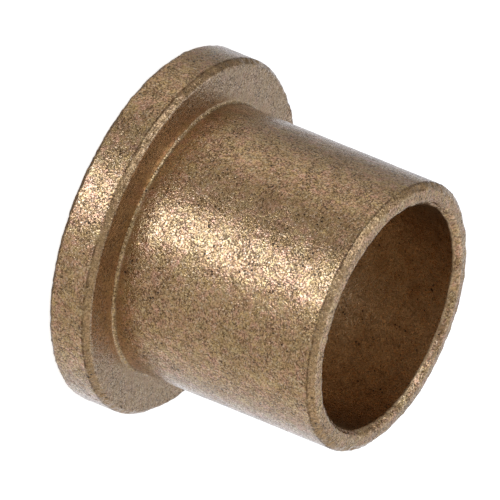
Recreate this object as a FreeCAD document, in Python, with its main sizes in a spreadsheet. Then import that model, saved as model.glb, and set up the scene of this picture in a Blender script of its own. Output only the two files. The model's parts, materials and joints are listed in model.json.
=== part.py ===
"""Flanged sleeve bushing in oil-impregnated sintered bronze, as a parametric FreeCAD document.

The bushing is one pressed and sintered piece: a thin-walled sleeve with a flange at one end.
Row frame, in millimetres: +Z runs along the bore from the flange to the open end of the sleeve,
and the origin is on the bore axis in the flange's outer (thrust) face.
"""

import FreeCAD, Part
import os

from FreeCAD import Vector
import Sketcher

SHEET = "Dimensions"

# The driving dimensions: alias, value in millimetres, what it is.
DIMENSIONS = (
    ("bore_diameter", 15.875, "running bore, 5/8 in"),
    ("sleeve_diameter", 19.05, "outside of the sleeve, 3/4 in"),
    ("overall_length", 19.05, "thrust face to the sleeve's open end, 3/4 in"),
    ("flange_diameter", 25.15, "outside of the flange, nominal 1 in"),
    ("flange_thickness", 3.175, "thrust face to seat face, 1/8 in"),
    ("root_fillet", 0.25, "cove between the seat face and the sleeve"),
    ("flange_front_chamfer", 0.4, "edge of the flange on the sleeve's side"),
    ("flange_back_chamfer", 0.27, "edge break of the flange on the thrust face"),
    ("sleeve_end_chamfer", 0.45, "lead-in on the outside of the sleeve's open end"),
    ("bore_mouth_chamfer", 0.4, "lead-in at both mouths of the bore"),
)


def make_sheet(doc):
    """Write the driving dimensions into a spreadsheet, one aliased cell each."""
    sheet = doc.addObject("Spreadsheet::Sheet", SHEET)
    for row, (alias, value, note) in enumerate(DIMENSIONS, start=1):
        sheet.set(f"A{row}", alias)
        sheet.set(f"B{row}", str(value))
        sheet.setAlias(f"B{row}", alias)
        sheet.set(f"C{row}", note)
    doc.recompute()
    return sheet


def cell(alias):
    """The expression that reads one cell of the sheet."""
    return f"{SHEET}.{alias}"


def origin_plane(body, role):
    """One of the body's own origin planes, by its role, such as XZ_Plane."""
    for feature in body.Origin.OriginFeatures:
        if feature.Role == role:
            return feature
    raise RuntimeError(f"{body.Label} has no {role}")


def add_outline(sketch, corners):
    """Close a chain of straight lines through the corners; line i runs from corner i to the next."""
    points = [Vector(across, up, 0) for across, up in corners]
    for start, end in zip(points, points[1:] + points[:1]):
        sketch.addGeometry(Part.LineSegment(start, end), False)
    for line in range(len(points)):
        following = (line + 1) % len(points)
        sketch.addConstraint(Sketcher.Constraint("Coincident", line, 2, following, 1))


def bind_distance(sketch, kind, line, value, expression):
    """Hold the start of a line at a distance from the sketch's origin, driven by an expression."""
    index = sketch.addConstraint(Sketcher.Constraint(kind, -1, 1, line, 1, value))
    sketch.setExpression(f"Constraints[{index}]", expression)


def make_half_section(body, sheet):
    """Sketch the L-shaped half section with sharp corners: X is the radius, Y runs along the bore."""
    sketch = body.newObject("Sketcher::SketchObject", "HalfSection")
    sketch.AttachmentSupport = (origin_plane(body, "XZ_Plane"), [""])
    sketch.MapMode = "FlatFace"

    bore = sheet.bore_diameter / 2
    sleeve = sheet.sleeve_diameter / 2
    flange = sheet.flange_diameter / 2
    seat = sheet.flange_thickness
    end = sheet.overall_length
    add_outline(
        sketch,
        ((bore, 0), (flange, 0), (flange, seat), (sleeve, seat), (sleeve, end), (bore, end)),
    )
    thrust_line, flange_line, seat_line, sleeve_line, end_line, bore_line = range(6)

    for line in (thrust_line, seat_line, end_line):
        sketch.addConstraint(Sketcher.Constraint("Horizontal", line))
    for line in (flange_line, sleeve_line, bore_line):
        sketch.addConstraint(Sketcher.Constraint("Vertical", line))
    sketch.addConstraint(Sketcher.Constraint("PointOnObject", thrust_line, 1, -1))
    bind_distance(sketch, "DistanceX", thrust_line, bore, cell("bore_diameter") + " / 2")
    bind_distance(sketch, "DistanceX", flange_line, flange, cell("flange_diameter") + " / 2")
    bind_distance(sketch, "DistanceX", sleeve_line, sleeve, cell("sleeve_diameter") + " / 2")
    bind_distance(sketch, "DistanceY", seat_line, seat, cell("flange_thickness"))
    bind_distance(sketch, "DistanceY", end_line, end, cell("overall_length"))
    return sketch


def make_blank(body, sketch):
    """Turn the half section once round the bore axis."""
    blank = body.newObject("PartDesign::Revolution", "Blank")
    blank.Profile = sketch
    blank.ReferenceAxis = (sketch, ["V_Axis"])
    blank.Angle = 360
    body.Document.recompute()
    return blank


def circle_names(feature, radius, height):
    """Names of the feature's circular edges of one radius at one height along the bore."""
    names = []
    for index, edge in enumerate(feature.Shape.Edges, start=1):
        curve = edge.Curve
        if not isinstance(curve, Part.Circle):
            continue
        if abs(curve.Radius - radius) < 1e-6 and abs(curve.Center.z - height) < 1e-6:
            names.append(f"Edge{index}")
    if not names:
        raise RuntimeError(f"{feature.Label} has no circle of radius {radius} at {height}")
    return names


def dress_edge(body, kind, name, circles, alias):
    """Add a fillet or a chamfer, sized by one cell, on circles given as (radius, height) pairs."""
    base = body.Tip
    edges = []
    for radius, height in circles:
        edges += circle_names(base, radius, height)
    dressed = body.newObject(f"PartDesign::{kind}", name)
    dressed.Base = (base, edges)
    size = "Radius" if kind == "Fillet" else "Size"
    dressed.setExpression(size, cell(alias))
    body.Tip = dressed
    body.Document.recompute()
    return dressed


def make_flanged_bushing(doc, sheet):
    """The whole bushing: revolved blank, cove at the sleeve's root, and its broken edges."""
    body = doc.addObject("PartDesign::Body", "flanged_bushing")
    body.Label = "flanged_bushing"
    body.Placement = FreeCAD.Placement()

    bore = sheet.bore_diameter / 2
    sleeve = sheet.sleeve_diameter / 2
    flange = sheet.flange_diameter / 2
    seat = sheet.flange_thickness
    end = sheet.overall_length

    make_blank(body, make_half_section(body, sheet))
    dress_edge(body, "Fillet", "RootCove", [(sleeve, seat)], "root_fillet")
    dress_edge(body, "Chamfer", "FlangeFrontEdge", [(flange, seat)], "flange_front_chamfer")
    dress_edge(body, "Chamfer", "FlangeBackEdge", [(flange, 0)], "flange_back_chamfer")
    dress_edge(body, "Chamfer", "SleeveEndLeadIn", [(sleeve, end)], "sleeve_end_chamfer")
    dress_edge(body, "Chamfer", "BoreMouths", [(bore, 0), (bore, end)], "bore_mouth_chamfer")
    return body


def check(doc, bodies):
    """Stop if any object of the document failed, or if a sub-part isn't one valid solid."""
    for item in doc.Objects:
        if "Invalid" in item.State or "Error" in item.State:
            raise RuntimeError(f"{item.Label} failed: {item.State}")
    for body in bodies:
        shape = body.Shape
        if shape.isNull() or not shape.isValid() or len(shape.Solids) != 1:
            raise RuntimeError(f"{body.Label} isn't one valid solid")


def export(bodies):
    """Write each sub-part to its own STEP file, named by its label."""
    os.makedirs("parts", exist_ok=True)
    for body in bodies:
        body.Shape.exportStep(os.path.join("parts", f"{body.Label}.step"))
        box = body.Shape.BoundBox
        print(
            f"{body.Label}: {body.Shape.Volume:.1f} mm3, "
            f"{box.XLength:.3f} x {box.YLength:.3f} x {box.ZLength:.3f} mm"
        )


def main():
    doc = FreeCAD.newDocument("FlangedSleeveBushing")
    sheet = make_sheet(doc)
    bodies = [make_flanged_bushing(doc, sheet)]
    doc.recompute()
    check(doc, bodies)
    export(bodies)


main()
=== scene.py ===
"""Looks of the flanged sleeve bushing in sintered bronze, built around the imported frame.

Lengths named with _MM are millimetres, and noise scales named with _PER_MM are features to a
millimetre. Blender's own units are metres. The bushing stands on its flange, bore axis along +Z.
Angles round the axis are azimuths in degrees: 0 is the -Y side, which faces the camera, and 90 is
the +X side.
"""

import json
import math
import random

import bpy
import numpy as np
from mathutils import Matrix, Vector, noise


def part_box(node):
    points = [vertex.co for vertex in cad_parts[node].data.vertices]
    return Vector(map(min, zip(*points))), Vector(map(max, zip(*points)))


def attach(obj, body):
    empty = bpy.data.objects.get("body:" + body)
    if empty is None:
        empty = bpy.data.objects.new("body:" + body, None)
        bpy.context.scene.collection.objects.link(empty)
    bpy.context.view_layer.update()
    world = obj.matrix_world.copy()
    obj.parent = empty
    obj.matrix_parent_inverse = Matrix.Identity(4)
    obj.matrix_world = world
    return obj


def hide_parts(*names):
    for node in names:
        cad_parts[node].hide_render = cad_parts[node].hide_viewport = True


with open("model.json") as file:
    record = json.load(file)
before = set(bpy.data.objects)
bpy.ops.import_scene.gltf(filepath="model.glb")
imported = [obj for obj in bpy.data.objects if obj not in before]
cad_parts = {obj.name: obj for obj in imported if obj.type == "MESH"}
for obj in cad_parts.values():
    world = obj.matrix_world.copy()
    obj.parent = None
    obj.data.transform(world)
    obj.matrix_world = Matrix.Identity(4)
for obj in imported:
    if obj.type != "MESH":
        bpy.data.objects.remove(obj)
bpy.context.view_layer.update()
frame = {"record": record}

MM = 0.001
SEED = 20
NODE = "flanged_bushing"

# Mesh fineness: sectors round the axis, and steps between rings along the half section
SECTORS = 440
MOUTH_STEP_MM = 0.06
COVE_STEP_MM = 0.07
FINE_STEP_MM = 0.11
SIDE_STEP_MM = 0.19
COARSE_STEP_MM = 0.45

# Spacing of the points that the outline is softened with and resampled from
SAMPLE_MM = 0.01

# Edge shapes that the frame leaves plain
FRONT_EDGE_AXIAL_MM = 0.46
FRONT_EDGE_RADIAL_MM = 0.35
BACK_EDGE_MM = 0.27
COVE_MM = 0.24
COVE_STEP_DEGREES = 10
END_FALL_MM = 0.07
CORNER_SOFTNESS_MM = 0.05

# Relief of the pressed skin: feature size, octaves, height on the plain faces and the height that
# the worn edges add to it, with sizes and heights in millimetres
WAVES = (3.1, 1, 0.012, 0.0)
DENTS = (1.3, 1, 0.011, 0.045)
LUMPS = (0.62, 2, 0.007, 0.055)
GRIT = (0.27, 1, 0.006, 0.050)
BORE_RELIEF_SHARE = 0.5

# Beads along the cove: the height varies round a base by a swing, both as shares
BEAD_HEIGHT_MM = 0.035
BEAD_WIDTH_MM = 0.34
BEAD_BASE = 0.3
BEAD_SWING = 2.2

# Larger open pores, and how far they stay from the seat, the front edges and the back edge
PIT_COUNT = 150
PIT_SHARE_ON_SLEEVE = 0.8
PIT_WIDTH_MM = (0.16, 0.34)
PIT_DEPTH_MM = 0.07
PIT_DEPTH_SHARE = (0.5, 1.0)
PIT_SEAT_GAP_MM = 1
PIT_FRONT_GAP_MM = 0.6
PIT_BACK_GAP_MM = 0.4

# Fine pattern of the bronze's skin, drawn by the material
GRAIN_DEPTH_MM = 0.036
GRAINS_PER_MM = 5.0
SEAM_CELLS_PER_MM = 4.9
SEAM_SWAYS_PER_MM = 3.4
SEAM_SWAY_MM = 0.15
SEAM_BREAKS_PER_MM = 6.5
FLECKS_PER_MM = 6.8
NICKS_PER_MM = 3.3
PORE_CELLS_PER_MM = 2.9
PORE_PATCHES_PER_MM = 0.9
PATCHES_PER_MM = 0.75
TINTS_PER_MM = 1.1
YELLOWS_PER_MM = 2.1
PATINA_PER_MM = 0.9

# Depth of pores and seams, and height of the worn edges' nicks, as shares of the grain's
PORE_DEPTH = 0.6
SEAM_DEPTH = 0.35
NICK_HEIGHT = 4.0

# Camera: angles in degrees, distance in metres
CAMERA_ELEVATION = 25.95
CAMERA_ROLL = 112.1
CAMERA_DISTANCE = 0.3
VIEW_WIDTH_MM = 33.18
AIM_HEIGHT_MM = 7.766
AIM_SHIFT_UP_MM = 0.766


def record_mount(name):
    """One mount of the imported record, by its name."""
    for mount in frame["record"]["mounts"]:
        if mount["name"] == name:
            return mount
    raise RuntimeError(f"the record has no mount named {name}")


def read_sizes():
    """The bushing's sizes in millimetres, from the frame's box and the record's mounts."""
    low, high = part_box(NODE)
    bore = record_mount("bore")
    sleeve = record_mount("sleeve_od")
    length = (high.z - low.z) / MM
    sleeve_top = sleeve["pos_m"][2] / MM + sleeve["dims"]["length_mm"] / 2
    return {
        "length": length,
        "flange": (high.x - low.x) / 2 / MM,
        "sleeve": sleeve["dims"]["r_mm"],
        "bore": bore["dims"]["r_mm"],
        "seat": record_mount("seat_face")["pos_m"][2] / MM,
        "end_edge": length - sleeve_top,
        "mouth_edge": (length - bore["dims"]["length_mm"]) / 2,
    }


# ---------------------------------------------------------------- shape


def sharp_outline(size):
    """Corners of the half section as (radius, height, step) in millimetres, round once.

    The step is how far apart the mesh's rings lie on the stretch that starts at the corner. The
    bore's open mouth has a steep flat and then a shallower one, and the end face falls outward.
    """
    top, seat = size["length"], size["seat"]
    bore, sleeve, flange = size["bore"], size["sleeve"], size["flange"]
    end, mouth = size["end_edge"], size["mouth_edge"]
    corners = [
        (bore, mouth, COARSE_STEP_MM),
        (bore, top - mouth, FINE_STEP_MM),
        (bore + 0.75 * mouth, top - 0.25 * mouth, MOUTH_STEP_MM),
        (bore + 1.25 * mouth, top, FINE_STEP_MM),
        (sleeve - end, top - END_FALL_MM, FINE_STEP_MM),
        (sleeve, top - end, SIDE_STEP_MM),
    ]
    for degrees in range(0, 91, COVE_STEP_DEGREES):
        angle = math.radians(degrees)
        radius = sleeve + COVE_MM * (1 - math.cos(angle))
        height = seat + COVE_MM * (1 - math.sin(angle))
        corners.append((radius, height, COVE_STEP_MM))
    corners += [
        (sleeve + 2 * COVE_MM, seat, FINE_STEP_MM),
        (flange - FRONT_EDGE_RADIAL_MM, seat, FINE_STEP_MM),
        (flange, seat - FRONT_EDGE_AXIAL_MM, SIDE_STEP_MM),
        (flange, BACK_EDGE_MM, FINE_STEP_MM),
        (flange - BACK_EDGE_MM, 0, COARSE_STEP_MM),
        (bore + mouth, 0, FINE_STEP_MM),
    ]
    return corners


def dense_outline(corners):
    """Points close together along the half section, with the mesh's step at each of them."""
    points, steps = [], []
    for index, (radius, height, step) in enumerate(corners):
        after = corners[(index + 1) % len(corners)]
        across, along = after[0] - radius, after[1] - height
        count = max(1, round(math.hypot(across, along) / SAMPLE_MM))
        for share in np.arange(count) / count:
            points.append((radius + across * share, height + along * share))
            steps.append(step)
    return np.array(points), np.array(steps)


def soft_outline(size):
    """The half section with its corners rounded, resampled at each stretch's own step.

    Returns the points and their outward normals, both as (radius, height).
    """
    dense, steps = dense_outline(sharp_outline(size))
    half = round(CORNER_SOFTNESS_MM / SAMPLE_MM)
    dense = sum(np.roll(dense, shift, axis=0) for shift in range(-half, half + 1)) / (2 * half + 1)
    # A fine stretch's step also holds for this many samples on both sides of it
    reach = 25
    steps = np.min([np.roll(steps, shift) for shift in range(-reach, reach + 1, 5)], axis=0)

    progress = np.cumsum(SAMPLE_MM / steps)
    stations = np.interp(np.arange(round(progress[-1])), progress, np.arange(len(dense)))
    index = np.arange(len(dense))
    points = np.stack([np.interp(stations, index, dense[:, axis]) for axis in (0, 1)], axis=1)
    along = np.roll(points, -1, axis=0) - np.roll(points, 1, axis=0)
    normals = np.stack([-along[:, 1], along[:, 0]], axis=1)
    normals /= np.linalg.norm(normals, axis=1)[:, None]
    return points, normals


def lathe(points, normals):
    """Turn the half section round the axis: places and normals, one row a vertex, ring by ring."""
    azimuth = np.radians(np.arange(SECTORS) * 360 / SECTORS)
    around = np.stack([np.sin(azimuth), -np.cos(azimuth), np.zeros(SECTORS)], axis=1)
    up = np.array((0.0, 0.0, 1.0))
    places = points[:, None, :1] * around[None] + points[:, None, 1:] * up
    facing = normals[:, None, :1] * around[None] + normals[:, None, 1:] * up
    return places.reshape(-1, 3), facing.reshape(-1, 3)


def noise_field(places, feature_mm, octaves=1):
    """Seeded smooth noise at every place, between about -1 and 1, with features of one size."""
    shift = Vector((SEED, 2 * SEED, 3 * SEED))
    values = np.empty(len(places))
    for index, place in enumerate(places):
        spot = Vector(place) / feature_mm + shift
        values[index] = noise.fractal(spot, 1.0, 2.0, octaves) if octaves > 1 else noise.noise(spot)
    return values


def bump(distance, width):
    """1 at no distance, easing to 0 beyond about one width."""
    return np.exp(-((distance / width) ** 2))


def edge_closeness(points, size):
    """How close each point of the half section lies to a worn edge: 1 on it, 0 away from it."""
    top, seat = size["length"], size["seat"]
    bore, sleeve, flange = size["bore"], size["sleeve"], size["flange"]
    end, mouth = size["end_edge"], size["mouth_edge"]
    # The middle of each edge, as radius and height, and the width of its worn band
    edges = (
        (flange - FRONT_EDGE_RADIAL_MM / 2, seat - FRONT_EDGE_AXIAL_MM / 2, 0.30),
        (flange - BACK_EDGE_MM / 2, BACK_EDGE_MM / 2, 0.22),
        (sleeve - end / 2, top - end / 2, 0.32),
        (bore + mouth / 2, top - mouth / 2, 0.28),
        (bore + mouth / 2, mouth / 2, 0.28),
    )
    near = []
    for radius, height, width in edges:
        distance = np.hypot(points[:, 0] - radius, points[:, 1] - height)
        near.append(bump(distance, width))
    return np.max(near, axis=0)


def pit_field(places, size):
    """Depth share of the larger open pores, scattered at random over the outside."""
    chance = random.Random(SEED)
    sleeve_heights = (size["seat"] + PIT_SEAT_GAP_MM, size["length"] - PIT_FRONT_GAP_MM)
    flange_heights = (PIT_BACK_GAP_MM, size["seat"] - PIT_FRONT_GAP_MM)
    depth = np.zeros(len(places))
    for _ in range(PIT_COUNT):
        azimuth = chance.uniform(0, 2 * math.pi)
        if chance.random() < PIT_SHARE_ON_SLEEVE:
            radius, height = size["sleeve"], chance.uniform(*sleeve_heights)
        else:
            radius, height = size["flange"], chance.uniform(*flange_heights)
        centre = np.array((radius * math.sin(azimuth), -radius * math.cos(azimuth), height))
        width = chance.uniform(*PIT_WIDTH_MM) / 2
        distance = np.linalg.norm(places - centre, axis=1)
        depth = np.maximum(depth, bump(distance, width) * chance.uniform(*PIT_DEPTH_SHARE))
    return depth


def cove_middle(size):
    """The middle of the cove's arc, as (radius, height) in millimetres."""
    inset = COVE_MM * (1 - math.sqrt(0.5))
    return size["sleeve"] + inset, size["seat"] + inset


def relief(places, radius, height, edge, size):
    """Height of the surface above the plain lathe shape, in millimetres, for every vertex."""
    total = np.zeros(len(places))
    for feature, octaves, face_height, edge_height in (WAVES, DENTS, LUMPS, GRIT):
        total += (face_height + edge_height * edge) * noise_field(places, feature, octaves)

    cove_radius, cove_height = cove_middle(size)
    on_cove = bump(np.hypot(radius - cove_radius, height - cove_height), COVE_MM / 2)
    beads = BEAD_BASE + BEAD_SWING * noise_field(places, BEAD_WIDTH_MM)
    total += BEAD_HEIGHT_MM * on_cove * beads

    total -= PIT_DEPTH_MM * pit_field(places, size)
    total[radius < size["bore"] + 0.02] *= BORE_RELIEF_SHARE
    return total


def keep_inside(places, size):
    """Hold the places inside the frame's box, so that the relief never makes the part bigger."""
    places[:, 2] = np.clip(places[:, 2], 0, size["length"])
    reach = np.hypot(places[:, 0], places[:, 1])
    places[:, :2] *= np.minimum(1, size["flange"] / reach)[:, None]


def ring_faces(rings):
    """Quads that join each ring to the next, and the last one to the first, facing outward."""
    ring = np.arange(rings)[:, None]
    sector = np.arange(SECTORS)[None]
    next_ring, next_sector = (ring + 1) % rings, (sector + 1) % SECTORS
    corners = (
        ring * SECTORS + sector,
        next_ring * SECTORS + sector,
        next_ring * SECTORS + next_sector,
        ring * SECTORS + next_sector,
    )
    return np.stack(corners, axis=-1).reshape(-1, 4)


def build_bushing(size):
    """The visible bushing: one closed, finely meshed solid with the relief of pressed powder."""
    points, normals = soft_outline(size)
    places, facing = lathe(points, normals)
    radius, height = np.repeat(points[:, 0], SECTORS), np.repeat(points[:, 1], SECTORS)
    edge = np.repeat(edge_closeness(points, size), SECTORS)
    places += facing * relief(places, radius, height, edge, size)[:, None]
    keep_inside(places, size)

    mesh = bpy.data.meshes.new("bushing_body")
    mesh.from_pydata((places * MM).tolist(), [], ring_faces(len(points)).tolist())
    mesh.polygons.foreach_set("use_smooth", [True] * len(mesh.polygons))
    wear = mesh.attributes.new("edge_wear", "FLOAT", "POINT")
    wear.data.foreach_set("value", edge.astype(np.float32))
    mesh.update()
    bushing = bpy.data.objects.new("bushing_body", mesh)
    bpy.context.scene.collection.objects.link(bushing)
    return bushing


# ---------------------------------------------------------------- node helpers


class Nodes:
    """Short calls for building one node tree."""

    def __init__(self, tree):
        self.tree = tree

    def add(self, kind, **settings):
        """A new node of a kind, with some of its properties set."""
        node = self.tree.nodes.new(kind)
        for name, value in settings.items():
            setattr(node, name, value)
        return node

    def feed(self, socket, value):
        """Connect a socket to another node's output, or give it a plain value."""
        if isinstance(value, bpy.types.NodeSocket):
            self.tree.links.new(value, socket)
        else:
            socket.default_value = value

    def math(self, operation, first, second=0.0, third=0.0):
        """One arithmetic step."""
        node = self.add("ShaderNodeMath", operation=operation)
        for socket, value in zip(node.inputs, (first, second, third)):
            self.feed(socket, value)
        return node.outputs[0]

    def times(self, first, second):
        """The product of two values."""
        return self.math("MULTIPLY", first, second)

    def without(self, share):
        """What a share leaves: 1 less the share."""
        return self.math("SUBTRACT", 1.0, share)

    def highest(self, first, *others):
        """The highest of several values."""
        for other in others:
            first = self.math("MAXIMUM", first, other)
        return first

    def dot(self, first, second):
        """The dot product of two vectors."""
        node = self.add("ShaderNodeVectorMath", operation="DOT_PRODUCT")
        self.feed(node.inputs[0], first)
        self.feed(node.inputs[1], second)
        return node.outputs["Value"]

    def smooth(self, value, low, high, to_low=0.0, to_high=1.0):
        """Ease from to_low to to_high while value goes from low to high."""
        node = self.add("ShaderNodeMapRange", interpolation_type="SMOOTHSTEP")
        names = ("Value", "From Min", "From Max", "To Min", "To Max")
        for name, number in zip(names, (value, low, high, to_low, to_high)):
            self.feed(node.inputs[name], number)
        return node.outputs["Result"]

    def noise(self, place, scale, detail=2.0, roughness=0.5, curl=0.0):
        """Smooth noise around 0.5, with `scale` features to a unit of the place."""
        node = self.add("ShaderNodeTexNoise")
        self.feed(node.inputs["Vector"], place)
        self.feed(node.inputs["Scale"], scale)
        self.feed(node.inputs["Detail"], detail)
        self.feed(node.inputs["Roughness"], roughness)
        self.feed(node.inputs["Distortion"], curl)
        return node.outputs["Fac"]

    def cells(self, place, scale):
        """How far the place lies from the seed point of its Voronoi cell."""
        node = self.add("ShaderNodeTexVoronoi")
        self.feed(node.inputs["Vector"], place)
        self.feed(node.inputs["Scale"], scale)
        return node.outputs["Distance"]

    def cell_edge(self, place, scale):
        """How far the place lies from the nearest border between Voronoi cells."""
        node = self.add("ShaderNodeTexVoronoi", feature="DISTANCE_TO_EDGE")
        self.feed(node.inputs["Vector"], place)
        self.feed(node.inputs["Scale"], scale)
        return node.outputs["Distance"]

    def sway(self, place, scale, reach):
        """The place, moved about by smooth noise by up to about the reach."""
        node = self.add("ShaderNodeTexNoise")
        self.feed(node.inputs["Vector"], place)
        self.feed(node.inputs["Scale"], scale)
        self.feed(node.inputs["Detail"], 1.0)
        centred = self.add("ShaderNodeVectorMath", operation="SUBTRACT")
        self.feed(centred.inputs[0], node.outputs["Color"])
        self.feed(centred.inputs[1], (0.5, 0.5, 0.5))
        moved = self.add("ShaderNodeVectorMath", operation="MULTIPLY_ADD")
        self.feed(moved.inputs[0], centred.outputs[0])
        self.feed(moved.inputs[1], (2 * reach, 2 * reach, 2 * reach))
        self.feed(moved.inputs[2], place)
        return moved.outputs[0]

    def mix(self, share, first, second):
        """Mix two colours; the share may be a number or an output.

        The node has a set of sockets for each data type: 6, 7 and output 2 are the colours'.
        """
        node = self.add("ShaderNodeMix", data_type="RGBA")
        self.feed(node.inputs[0], share)
        self.feed(node.inputs[6], first)
        self.feed(node.inputs[7], second)
        return node.outputs[2]

    def layers(self, colour, pairs):
        """Lay colours over a colour, each by its own share, from the first pair to the last."""
        for share, over in pairs:
            colour = self.mix(share, colour, over)
        return colour


# ---------------------------------------------------------------- material


# Bronze: linear colours
BRONZE_RED = (0.91, 0.505, 0.345, 1)
BRONZE_OLIVE = (0.75, 0.55, 0.28, 1)
BRONZE_YELLOW = (0.82, 0.55, 0.24, 1)
# Painted fill light: the bore's tone is lighter and paler than the outer bronze
LIT_BORE_BRONZE = (0.80, 0.575, 0.345, 1)
# Painted shade on the seat and round the sleeve's foot
SHADED_BRONZE = (0.575, 0.43, 0.295, 1)
FLECK = (1.0, 0.79, 0.58, 1)
WORN = (0.66, 0.43, 0.22, 1)
TARNISH = (0.52, 0.315, 0.155, 1)
PORE = (0.28, 0.155, 0.062, 1)
SEAM = (0.09, 0.045, 0.016, 1)
# Painted shade: a thin dark line at the corners where the sleeve's and the flange's sides meet their
# front edges
PAINTED_EDGE_SHADE = (0.16, 0.085, 0.035, 1)
DEEP_PORE = (0.04, 0.024, 0.012, 1)

# Reach of the zones round the bushing's edges
COVE_GLINT_MM = 0.17
PAINTED_EDGE_SHADE_MM = 0.11


def millimetre_place(nodes):
    """The shaded point in the row frame, in millimetres."""
    scale = nodes.add("ShaderNodeVectorMath", operation="SCALE")
    nodes.feed(scale.inputs[0], nodes.add("ShaderNodeTexCoord").outputs["Object"])
    nodes.feed(scale.inputs["Scale"], 1 / MM)
    return scale.outputs[0]


def section_place(nodes, place):
    """The shaded point in the half section: its distance from the axis, and its height."""
    parts = nodes.add("ShaderNodeSeparateXYZ")
    nodes.feed(parts.inputs[0], place)
    x_squared = nodes.times(parts.outputs[0], parts.outputs[0])
    y_squared = nodes.times(parts.outputs[1], parts.outputs[1])
    return nodes.math("SQRT", nodes.math("ADD", x_squared, y_squared)), parts.outputs[2]


def ring_distance(nodes, radius, height, ring_radius, ring_height):
    """The distance of the shaded point from a ring round the axis, in millimetres."""
    across = nodes.math("POWER", nodes.math("SUBTRACT", radius, ring_radius), 2.0)
    along = nodes.math("POWER", nodes.math("SUBTRACT", height, ring_height), 2.0)
    return nodes.math("SQRT", nodes.math("ADD", across, along))


def ring_share(nodes, radius, height, ring_radius, ring_height, width):
    """1 close to a ring round the axis, easing to 0 at the width from it."""
    distance = ring_distance(nodes, radius, height, ring_radius, ring_height)
    return nodes.smooth(distance, 0.35 * width, width, 1.0, 0.0)


def find_zones(nodes, place, size):
    """Shares from 0 to 1, by name, of the zones whose skin differs from the rest.

    bore: inside of the bore, whose lighter tone is painted fill light. seat: the flange's seat face.
    root: round the sleeve's foot; the seat and the root get painted shade. cove: the cove, with a
    painted highlight along it. worn: the rubbed outer edges. crease: painted shade along the
    corners where the sleeve's and the flange's sides turn into their front edges. rim: the highest
    part of the end face, with a painted sheen. calm: where the grain is smoothed over.
    """
    radius, height = section_place(nodes, place)
    bore, mouth = size["bore"], size["bore"] + size["mouth_edge"]
    sleeve, flange = size["sleeve"], size["flange"]
    top, seat = size["length"], size["seat"]

    zones = {"bore": nodes.smooth(radius, bore + 0.03, bore + 0.14, 1.0, 0.0)}
    zones["seat"] = nodes.times(
        nodes.smooth(height, seat + 0.02, seat + 0.10, 1.0, 0.0),
        nodes.smooth(height, seat - 0.12, seat - 0.04),
    )
    from_root = ring_distance(nodes, radius, height, sleeve, seat)
    zones["root"] = nodes.smooth(from_root, 0.2, 1.2, 1.0, 0.0)
    # The cove's share also lays a painted highlight into the colour
    zones["cove"] = ring_share(nodes, radius, height, *cove_middle(size), COVE_GLINT_MM)
    edge = nodes.add("ShaderNodeAttribute", attribute_name="edge_wear").outputs["Fac"]
    outside = nodes.smooth(radius, mouth, mouth + 0.2)
    zones["worn"] = nodes.times(nodes.smooth(edge, 0.35, 0.65), outside)
    # Painted shade line round the corners where the sides turn into their front edges
    zones["crease"] = nodes.highest(
        ring_share(nodes, radius, height, sleeve, top - size["end_edge"], PAINTED_EDGE_SHADE_MM),
        ring_share(nodes, radius, height, flange, seat - FRONT_EDGE_AXIAL_MM, PAINTED_EDGE_SHADE_MM),
    )
    # The rim's share lays a painted sheen on the top of the end face
    zones["rim"] = nodes.smooth(height, top - 0.12, top - 0.05)
    calm = nodes.highest(zones["bore"], zones["root"], nodes.times(zones["worn"], 0.6))
    zones["calm"] = nodes.times(calm, nodes.without(zones["cove"]))
    return zones


def skin_patterns(nodes, place):
    """The random patterns of the skin, by name: outputs between 0 and 1.

    grain: fine wrinkles. seam: dark lines between grains. hollow: low spots. pore: open pores.
    fleck: bright metal. tint: slow change from olive to red. patch: rougher and smoother areas.
    """
    grain = nodes.noise(place, GRAINS_PER_MM, detail=1, roughness=0.4, curl=1.3)
    off_seam = nodes.cell_edge(nodes.sway(place, SEAM_SWAYS_PER_MM, SEAM_SWAY_MM), SEAM_CELLS_PER_MM)
    breaks = nodes.noise(place, SEAM_BREAKS_PER_MM, detail=1)
    flecks = nodes.noise(place, FLECKS_PER_MM, detail=1, roughness=0.4)
    pore_patch = nodes.noise(place, PORE_PATCHES_PER_MM, detail=3)
    pore_size = nodes.smooth(pore_patch, 0.42, 0.70, 0.0, 0.24)
    off_pore = nodes.math("SUBTRACT", nodes.cells(place, PORE_CELLS_PER_MM), pore_size)
    return {
        "grain": grain,
        "seam": nodes.times(
            nodes.smooth(off_seam, 0.02, 0.19, 1.0, 0.0),
            nodes.smooth(breaks, 0.38, 0.56, 0.0, 0.85),
        ),
        "hollow": nodes.smooth(grain, 0.34, 0.56, 0.6, 0.0),
        "pore": nodes.smooth(off_pore, -0.05, 0.05, 1.0, 0.0),
        "fleck": nodes.smooth(flecks, 0.52, 0.72, 0.0, 0.6),
        "tint": nodes.noise(place, TINTS_PER_MM, detail=5, roughness=0.75),
        "patch": nodes.noise(place, PATCHES_PER_MM, detail=3, roughness=0.6),
    }


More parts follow.
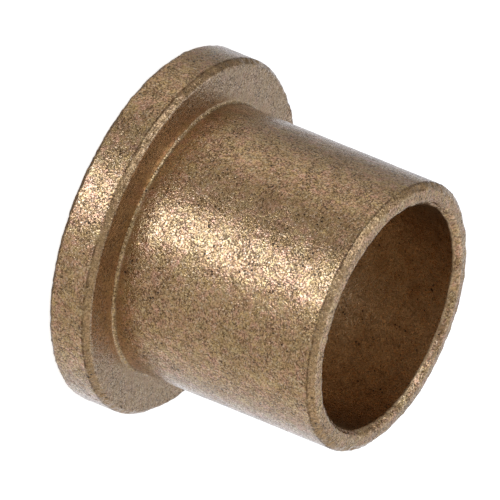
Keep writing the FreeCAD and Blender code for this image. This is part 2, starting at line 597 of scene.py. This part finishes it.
def bronze_colour(nodes, place, zones, skin, crease):
    """The mottled metal, then each zone's tone, then flecks, and the dark lines and pores. The bore's
    tone is painted fill light, the seat and the sleeve's foot get painted shade, the cove a painted
    highlight, the rim a painted sheen, and the front edges' corners a painted shade line.
    """
    yellow = nodes.noise(place, YELLOWS_PER_MM, detail=3, roughness=0.7)
    patina = nodes.noise(place, PATINA_PER_MM, detail=5, roughness=0.72)
    # Painted shade: darker, duller bronze on the seat and round the sleeve's foot
    foot_shade = nodes.highest(nodes.times(zones["seat"], 0.6), nodes.times(zones["root"], 0.25))
    depth = nodes.times(
        nodes.smooth(skin["patch"], 0.40, 0.60, 0.82, 1.06),
        nodes.smooth(zones["calm"], 0.0, 1.0, 0.9, 0.5),
    )
    return nodes.layers(
        BRONZE_OLIVE,
        (
            (nodes.smooth(skin["tint"], 0.38, 0.62), BRONZE_RED),
            (nodes.smooth(yellow, 0.4, 0.7), BRONZE_YELLOW),
            # Painted fill light: a lighter tone inside the bore
            (zones["bore"], LIT_BORE_BRONZE),
            (nodes.smooth(patina, 0.38, 0.68, 0.0, 0.75), TARNISH),
            (foot_shade, SHADED_BRONZE),
            (nodes.times(zones["worn"], 0.7), WORN),
            # Painted highlight along the cove
            (nodes.times(zones["cove"], 0.5), BRONZE_YELLOW),
            # Painted sheen on the top of the end face
            (nodes.times(zones["rim"], 0.1), FLECK),
            (nodes.times(skin["fleck"], nodes.without(zones["calm"])), FLECK),
            (nodes.times(skin["hollow"], depth), PORE),
            (nodes.times(skin["seam"], depth), SEAM),
            (nodes.times(skin["pore"], 0.9), DEEP_PORE),
            # Painted shade line at the front edges' corners
            (crease, PAINTED_EDGE_SHADE),
        ),
    )


def bronze_bump(nodes, place, zones, skin):
    """The surface direction over grains, pores, seams and the nicks of the worn edges."""
    nicks = nodes.noise(place, NICKS_PER_MM, detail=2, roughness=0.5, curl=0.6)
    nicks = nodes.math("SUBTRACT", nicks, 0.5)
    height = nodes.math("SUBTRACT", skin["grain"], nodes.times(skin["pore"], PORE_DEPTH))
    height = nodes.math("SUBTRACT", height, nodes.times(skin["seam"], SEAM_DEPTH))
    height = nodes.math("MULTIPLY_ADD", nicks, nodes.times(zones["worn"], NICK_HEIGHT), height)
    strength = nodes.times(
        nodes.smooth(skin["patch"], 0.40, 0.60, 0.65, 1.15),
        nodes.smooth(zones["calm"], 0.0, 1.0, 1.0, 0.5),
    )
    node = nodes.add("ShaderNodeBump")
    nodes.feed(node.inputs["Height"], height)
    nodes.feed(node.inputs["Distance"], GRAIN_DEPTH_MM * MM)
    nodes.feed(node.inputs["Strength"], strength)
    return node.outputs[0]


def bronze_material(size):
    """Oil-impregnated sintered bronze: metal grains, dark pores, mottled tint, thin oil film."""
    material = bpy.data.materials.new("sintered_bronze")
    material.use_nodes = True
    nodes = Nodes(material.node_tree)
    place = millimetre_place(nodes)
    zones = find_zones(nodes, place, size)
    skin = skin_patterns(nodes, place)

    # Painted shade line at the front edges' corners, broken up by the tint noise
    crease = nodes.times(zones["crease"], nodes.smooth(skin["tint"], 0.42, 0.60, 0.15, 0.8))
    dark = nodes.highest(skin["seam"], skin["hollow"], crease)
    roughness = nodes.smooth(skin["grain"], 0.35, 0.65, 0.28, 0.16)
    roughness = nodes.math("MULTIPLY_ADD", zones["bore"], 0.08, roughness)

    shader = material.node_tree.nodes["Principled BSDF"]
    nodes.feed(shader.inputs["Metallic"], 1.0)
    nodes.feed(shader.inputs["Base Color"], bronze_colour(nodes, place, zones, skin, crease))
    nodes.feed(shader.inputs["Roughness"], roughness)
    nodes.feed(shader.inputs["Coat Weight"], nodes.smooth(dark, 0.0, 1.0, 0.5, 0.1))
    nodes.feed(shader.inputs["Coat Roughness"], 0.22)
    nodes.feed(shader.inputs["Normal"], bronze_bump(nodes, place, zones, skin))
    return material


# ---------------------------------------------------------------- stage


def camera_axes():
    """The camera's right, up and back directions in the row frame."""
    tilt = math.radians(CAMERA_ELEVATION)
    roll = math.radians(CAMERA_ROLL)
    back = Vector((0, -math.cos(tilt), math.sin(tilt)))
    level_right = Vector((1, 0, 0))
    level_up = back.cross(level_right)
    right = level_right * math.cos(roll) + level_up * math.sin(roll)
    up = back.cross(right)
    return right, up, back


def add_camera():
    """A camera without perspective, rolled so that the bushing seems to lie on its side."""
    right, up, back = camera_axes()
    data = bpy.data.cameras.new("camera")
    data.type = "ORTHO"
    data.ortho_scale = VIEW_WIDTH_MM * MM
    data.clip_start = 0.001
    data.clip_end = 10
    camera = bpy.data.objects.new("camera", data)
    bpy.context.scene.collection.objects.link(camera)
    aim = Vector((0, 0, AIM_HEIGHT_MM * MM)) + up * AIM_SHIFT_UP_MM * MM
    placement = Matrix((right, up, back)).transposed().to_4x4()
    placement.translation = aim + back * CAMERA_DISTANCE
    camera.matrix_world = placement
    bpy.context.scene.camera = camera


def toward(azimuth, elevation):
    """The unit direction at an azimuth and an elevation, in degrees."""
    turn, rise = math.radians(azimuth), math.radians(elevation)
    level = math.cos(rise)
    return Vector((math.sin(turn) * level, -math.cos(turn) * level, math.sin(rise)))


# The studio's soft boxes: azimuth, elevation, width, height, soft edge (degrees) and brightness.
# The key lights are cool. The fill lights and the ambient light are close to neutral.
KEY_LIGHTS = (
    (-2, -23, 26, 36, 12, 2.75),
    (-59, 55, 32, 40, 16, 1.35),
    (180, -17, 50, 60, 26, 0.66),
    (135, -22, 50, 60, 30, 0.48),
    (0, 10, 60, 30, 20, 0.20),
    (180, 58, 56, 44, 14, 0.50),
)
FILL_LIGHTS = (
    (-84, -26, 40, 60, 34, 0.48),
    (-38, -25, 22, 40, 14, 0.20),
    (-126, -25, 24, 40, 16, 0.12),
    (68, -28, 90, 60, 40, 0.34),
    (88, 44, 80, 50, 36, 0.34),
    (0, 42, 60, 70, 30, 0.15),
    (-98, 38, 26, 34, 12, 0.22),
    (124, 26, 34, 30, 16, 0.12),
    (180, 36, 90, 44, 24, 0.20),
)
KEY_COLOUR = (0.90, 0.98, 1.12)
FILL_COLOUR = (1.02, 1.0, 0.97)
AMBIENT = 0.18
BACKDROP = (1.05, 1.05, 1.05, 1)


def soft_box(nodes, direction, azimuth, elevation, width, height, edge, brightness):
    """The brightness that one soft-edged box adds in each direction of the sky."""
    centre = toward(azimuth, elevation)
    across = toward(azimuth + 90, 0)
    up = across.cross(centre)
    ahead = nodes.dot(direction, centre)
    level = nodes.smooth(ahead, 0.0, 0.15)
    for axis, spread in ((across, width), (up, height)):
        offset = nodes.math("ARCTAN2", nodes.math("ABSOLUTE", nodes.dot(direction, axis)), ahead)
        inner, outer = math.radians((spread - edge) / 2), math.radians((spread + edge) / 2)
        level = nodes.times(level, nodes.smooth(offset, inner, outer, 1.0, 0.0))
    return nodes.times(level, brightness)


def add_studio_light():
    """Soft boxes round the bushing as the world's light; the camera sees plain white."""
    world = bpy.data.worlds.new("studio")
    bpy.context.scene.world = world
    world.use_nodes = True
    nodes = Nodes(world.node_tree)
    direction = nodes.add("ShaderNodeTexCoord").outputs["Generated"]
    key, fill = 0.0, AMBIENT
    for light in KEY_LIGHTS:
        key = nodes.math("ADD", key, soft_box(nodes, direction, *light))
    for light in FILL_LIGHTS:
        fill = nodes.math("ADD", fill, soft_box(nodes, direction, *light))
    lit = nodes.add("ShaderNodeCombineXYZ")
    for channel, key_share, fill_share in zip(lit.inputs, KEY_COLOUR, FILL_COLOUR):
        nodes.feed(channel, nodes.math("MULTIPLY_ADD", key, key_share, nodes.times(fill, fill_share)))
    seen = nodes.add("ShaderNodeLightPath").outputs["Is Camera Ray"]
    background = world.node_tree.nodes["Background"]
    nodes.feed(background.inputs["Color"], nodes.mix(seen, lit.outputs[0], BACKDROP))
    nodes.feed(background.inputs["Strength"], 1.0)


# The table: side and drop below the flange in metres, its own glow to the camera, and the share of
# the light from below that it lets through into the bore
TABLE_SIDE = 4
TABLE_DROP = 0.00002
TABLE_GLOW = 0.8
BORE_LIGHT = 0.4


def table_material(size):
    """Pale and lit for the camera, clear to light outside the flange, and clear from below."""
    material = bpy.data.materials.new("lit_table")
    material.use_nodes = True
    nodes = Nodes(material.node_tree)
    path = nodes.add("ShaderNodeLightPath")
    seen = path.outputs["Is Camera Ray"]
    shader = material.node_tree.nodes["Principled BSDF"]
    nodes.feed(shader.inputs["Base Color"], (0.85, 0.85, 0.85, 1))
    nodes.feed(shader.inputs["Roughness"], 0.9)
    nodes.feed(shader.inputs["Specular IOR Level"], 0.0)
    nodes.feed(shader.inputs["Emission Color"], (1, 1, 1, 1))
    nodes.feed(shader.inputs["Emission Strength"], nodes.times(seen, TABLE_GLOW))

    from_axis = nodes.add("ShaderNodeVectorMath", operation="LENGTH")
    nodes.feed(from_axis.inputs[0], nodes.add("ShaderNodeTexCoord").outputs["Object"])
    outside = nodes.math("GREATER_THAN", from_axis.outputs["Value"], size["flange"] * MM)
    passed = nodes.smooth(outside, 0.0, 1.0, BORE_LIGHT, 1.0)
    from_below = nodes.add("ShaderNodeNewGeometry").outputs["Backfacing"]
    clear = nodes.highest(nodes.times(passed, nodes.without(seen)), from_below)
    blend = nodes.add("ShaderNodeMixShader")
    nodes.feed(blend.inputs[0], clear)
    nodes.feed(blend.inputs[1], shader.outputs[0])
    nodes.feed(blend.inputs[2], nodes.add("ShaderNodeBsdfTransparent").outputs[0])
    nodes.feed(material.node_tree.nodes["Material Output"].inputs["Surface"], blend.outputs[0])
    return material


def add_table(size):
    """A pale lit table, which lets light up from below as a light box does.

    Under the bore it holds part of that light back, and from underneath it never hides the bushing.
    """
    bpy.ops.mesh.primitive_grid_add(x_subdivisions=2, y_subdivisions=2, size=TABLE_SIDE)
    table = bpy.context.object
    table.name = "table"
    table.location.z = -TABLE_DROP
    table.data.materials.append(table_material(size))


size = read_sizes()
bushing = build_bushing(size)
bushing.data.materials.append(bronze_material(size))
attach(bushing, "root")
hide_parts(NODE)

add_camera()
add_studio_light()
add_table(size)
bpy.context.scene.view_settings.view_transform = "Standard"
